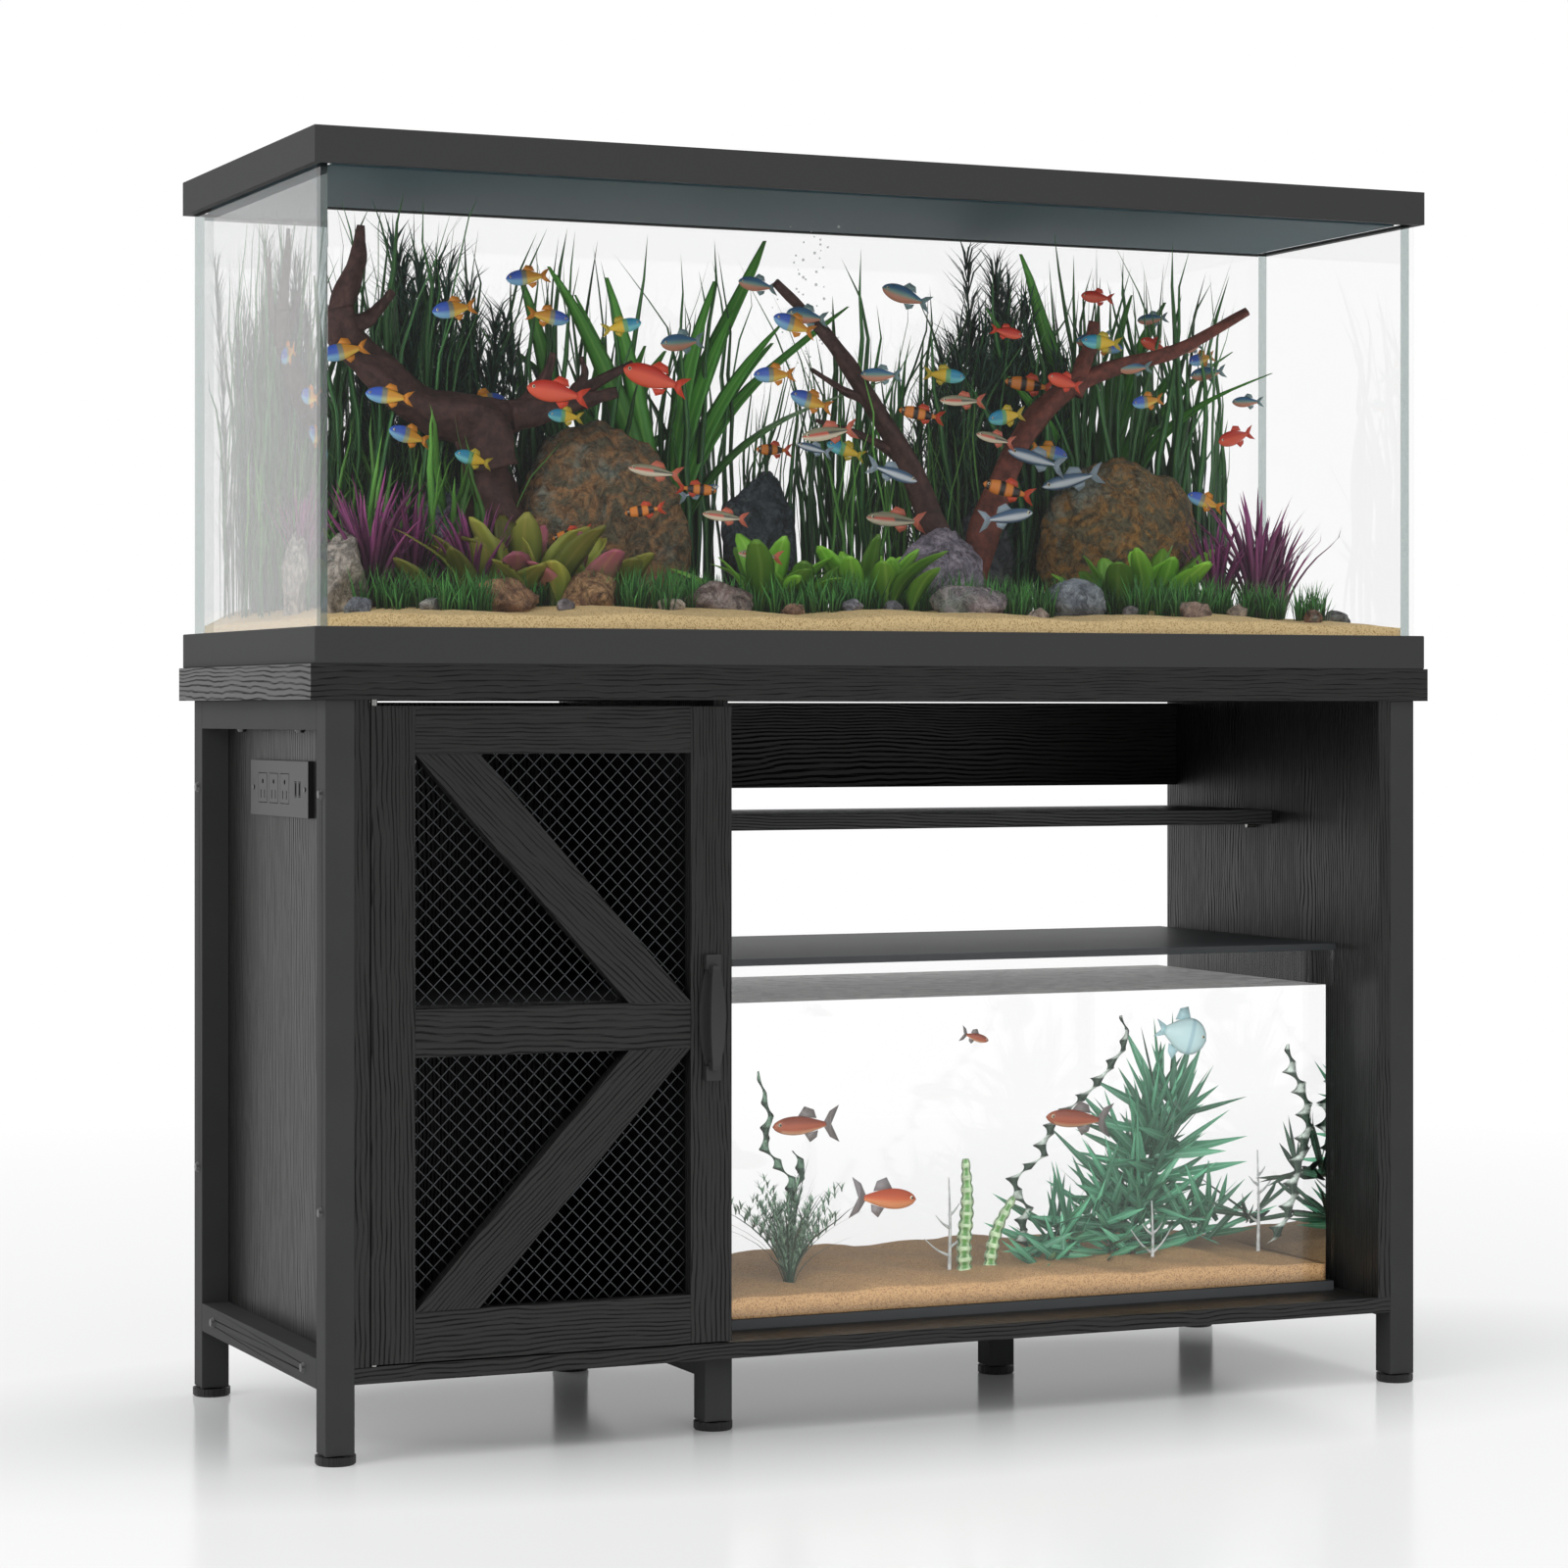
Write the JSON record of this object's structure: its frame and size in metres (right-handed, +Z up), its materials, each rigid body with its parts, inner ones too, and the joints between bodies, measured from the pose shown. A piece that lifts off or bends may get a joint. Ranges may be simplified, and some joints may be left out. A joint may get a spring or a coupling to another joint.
{
  "type": "aquarium on stand",
  "caption": "Rimmed glass aquarium on a steel-framed stand with a mesh door, open bay, shelves, outlet strip and a smaller tank below.",
  "frame": {"origin": "on the floor, under the middle of the whole outline's box", "axes": "+X to the right, +Y from the door side to the back, +Z up"},
  "size_m": [1.24, 0.478, 1.2688],
  "materials": {
    "grained_top": "matte dark grey wood grain",
    "coated_steel": "matte powder coat",
    "black_plastic": "matte",
    "dark_bolts": "satin",
    "grained_board": "matte dark wood grain",
    "grey_side_board": "matte grey wood grain",
    "plain_shelf_board": "smooth matte laminate",
    "bright_pins": "satin",
    "pivot_steel": "satin",
    "catch_plastic": "matte",
    "door_wood": "matte dark wood grain",
    "mesh_wire": "satin",
    "handle_metal": "matte",
    "outlet_plate_plastic": "matte",
    "socket_plastic": "matte",
    "box_plastic": "matte",
    "rim_plastic": "satin",
    "tank_glass": "clear",
    "silicone": "satin",
    "cover_plastic": "matte",
    "tray_plastic": "satin",
    "pale_sand": "loose sand",
    "stone": "rough stone",
    "driftwood": "rough",
    "green_plants": "satin",
    "lower_glass": "clear",
    "lid_glass": "clear",
    "lower_sand": "loose sand",
    "lower_plants": "satin"
  },
  "bodies": {
    "stand": {"tabletop": "grained_top", "left_legs": "coated_steel", "right_legs": "coated_steel", "left_rails": "coated_steel", "right_rails": "coated_steel", "middle_legs": "coated_steel", "middle_rail": "coated_steel", "support_leg": "coated_steel", "leg_plugs": "black_plastic", "frame_bolts": "dark_bolts", "bottom_board": "grained_board", "left_side_panel": "grey_side_board", "right_side_panel": "grained_board", "divider": "grained_board", "left_back_panel": "grained_board", "back_strip": "grained_board", "left_shelf": "grained_board", "right_shelf": "plain_shelf_board", "shelf_pins": "bright_pins", "pivot_plates": "pivot_steel", "magnet_catch": "catch_plastic", "outlet_plate": "outlet_plate_plastic", "outlet_sockets": "socket_plastic", "outlet_screws": "dark_bolts", "power_box": "box_plastic", "base_rim": "rim_plastic", "bottom_pane": "tank_glass", "long_panes": "tank_glass", "end_panes": "tank_glass", "silicone_seams": "silicone", "top_rim": "rim_plastic", "sand_bed": "pale_sand", "rocks": "stone", "driftwood": "driftwood", "back_plants": "green_plants", "front_plants": "green_plants", "lower_bottom_pane": "lower_glass", "lower_long_panes": "lower_glass", "lower_end_panes": "lower_glass", "lower_sand": "lower_sand", "lower_plants": "lower_plants"},
    "door": {"door_left_stile": "door_wood", "door_right_stile": "door_wood", "door_rails": "door_wood", "door_braces": "door_wood", "door_mesh": "mesh_wire", "door_handle": "handle_metal", "door_pivot_leaves": "pivot_steel", "strike_plate": "pivot_steel"},
    "cover": {"cover_plate": "cover_plastic", "cover_tray": "tray_plastic", "cover_pins": "bright_pins"},
    "lower_lid": {"lower_lid": "lid_glass"},
    "foot_front_left": {"foot_front_left": "black_plastic"},
    "foot_rear_left": {"foot_rear_left": "black_plastic"},
    "foot_front_right": {"foot_front_right": "black_plastic"},
    "foot_rear_right": {"foot_rear_right": "black_plastic"},
    "foot_middle_front": {"foot_middle_front": "black_plastic"},
    "foot_middle_rear": {"foot_middle_rear": "black_plastic"},
    "foot_support": {"foot_support": "black_plastic"}
  },
  "joints": [
    {"name": "door_hinge", "type": "hinge", "parent": "stand", "child": "door", "pos_m": [-0.5557, -0.21675, 0.407], "axis": [0, 0, -1], "range_deg": [0, 100]},
    {"name": "cover_hinge", "type": "hinge", "parent": "stand", "child": "cover", "pos_m": [0, 0.2274, 1.26625], "axis": [-1, 0, 0], "range_deg": [0, 85]},
    {"name": "lower_lid_slide", "type": "slide", "parent": "stand", "child": "lower_lid", "axis": [0, -1, 0], "range_m": [0, 0.15]},
    {"name": "foot_front_left_turn", "type": "hinge", "parent": "stand", "child": "foot_front_left", "pos_m": [-0.59, -0.20575, 0.0095], "axis": [0, 0, 1], "continuous": true},
    {"name": "foot_rear_left_turn", "type": "hinge", "parent": "stand", "child": "foot_rear_left", "pos_m": [-0.59, 0.22025, 0.0095], "axis": [0, 0, 1], "continuous": true},
    {"name": "foot_front_right_turn", "type": "hinge", "parent": "stand", "child": "foot_front_right", "pos_m": [0.59, -0.20575, 0.0095], "axis": [0, 0, 1], "continuous": true},
    {"name": "foot_rear_right_turn", "type": "hinge", "parent": "stand", "child": "foot_rear_right", "pos_m": [0.59, 0.22025, 0.0095], "axis": [0, 0, 1], "continuous": true},
    {"name": "foot_middle_front_turn", "type": "hinge", "parent": "stand", "child": "foot_middle_front", "pos_m": [-0.1885, -0.17675, 0.0095], "axis": [0, 0, 1], "continuous": true},
    {"name": "foot_middle_rear_turn", "type": "hinge", "parent": "stand", "child": "foot_middle_rear", "pos_m": [-0.1885, 0.22025, 0.0095], "axis": [0, 0, 1], "continuous": true},
    {"name": "foot_support_turn", "type": "hinge", "parent": "stand", "child": "foot_support", "pos_m": [0.225, 0.01525, 0.0095], "axis": [0, 0, 1], "continuous": true}
  ]
}
